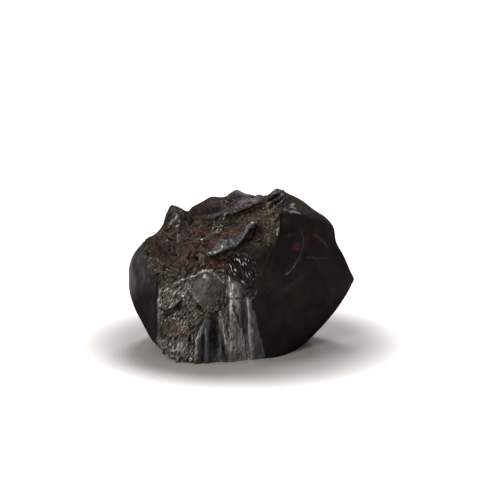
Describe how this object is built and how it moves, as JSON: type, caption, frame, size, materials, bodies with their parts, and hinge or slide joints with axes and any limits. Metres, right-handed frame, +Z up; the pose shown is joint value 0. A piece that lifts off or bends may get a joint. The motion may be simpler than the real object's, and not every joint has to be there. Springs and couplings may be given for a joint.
{
  "type": "hematite stone",
  "caption": "Rough lump of dark iron ore with a smooth rounded lobe, silvery fractured front, glassy dark right face and red-brown top; rests on a flat base.",
  "frame": {"origin": "middle of the bounding box, on the level that the stone rests on", "axes": "+X towards the stone's pointed right end as seen from the front, along its longest extent; -Y towards the viewer of the silvery front; +Z up"},
  "size_m": [0.05, 0.0351, 0.0336],
  "materials": {
    "hematite": "broken iron ore: silvery and rough in front, satin grey on the left lobe, dark and glassy on the right, red-brown on top"
  },
  "bodies": {
    "root": {"hematite_stone": "hematite"}
  },
  "joints": []
}
